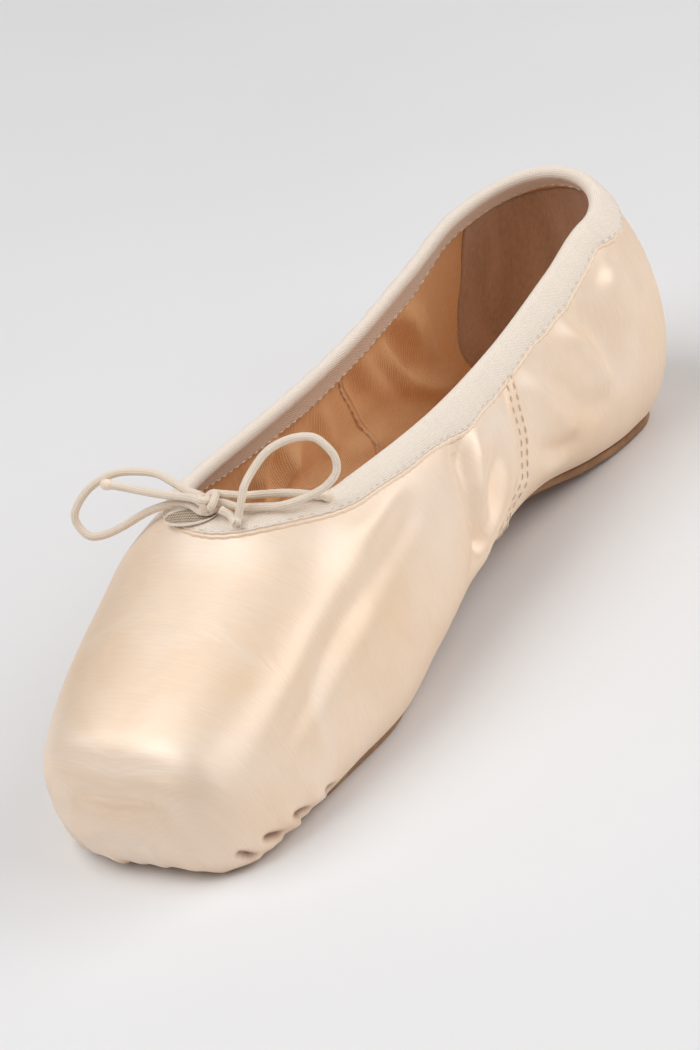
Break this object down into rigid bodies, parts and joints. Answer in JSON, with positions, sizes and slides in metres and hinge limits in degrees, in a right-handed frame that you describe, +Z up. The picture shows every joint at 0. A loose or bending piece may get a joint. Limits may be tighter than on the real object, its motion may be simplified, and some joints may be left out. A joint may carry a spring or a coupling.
{
  "type": "pointe shoe",
  "caption": "Satin ballet shoe with a stiffened toe box and flat platform, leather sole, bound collar and a drawstring tied in a small bow.",
  "frame": {"origin": "on the floor under the middle of the shoe's plan outline, measured without the drawstring", "axes": "+Z up, the toe points to -Y and the heel to +Y, +X is the wearer's left"},
  "size_m": [0.0786, 0.2368, 0.0718],
  "materials": {
    "satin": "pale satin with a soft sheen",
    "sole_leather": "smooth vegetable-tanned leather",
    "sock": "matt cotton sock",
    "tape": "matt cotton twill",
    "cord": "round cotton cord"
  },
  "bodies": {
    "root": {"upper": "satin", "outsole": "sole_leather", "insole": "sock", "collar_binding": "tape", "heel_back_strip": "satin", "drawstring_knot": "cord", "drawstring_loop_left": "cord", "drawstring_loop_right": "cord", "drawstring_end_left": "cord", "drawstring_end_right": "cord"}
  },
  "joints": []
}
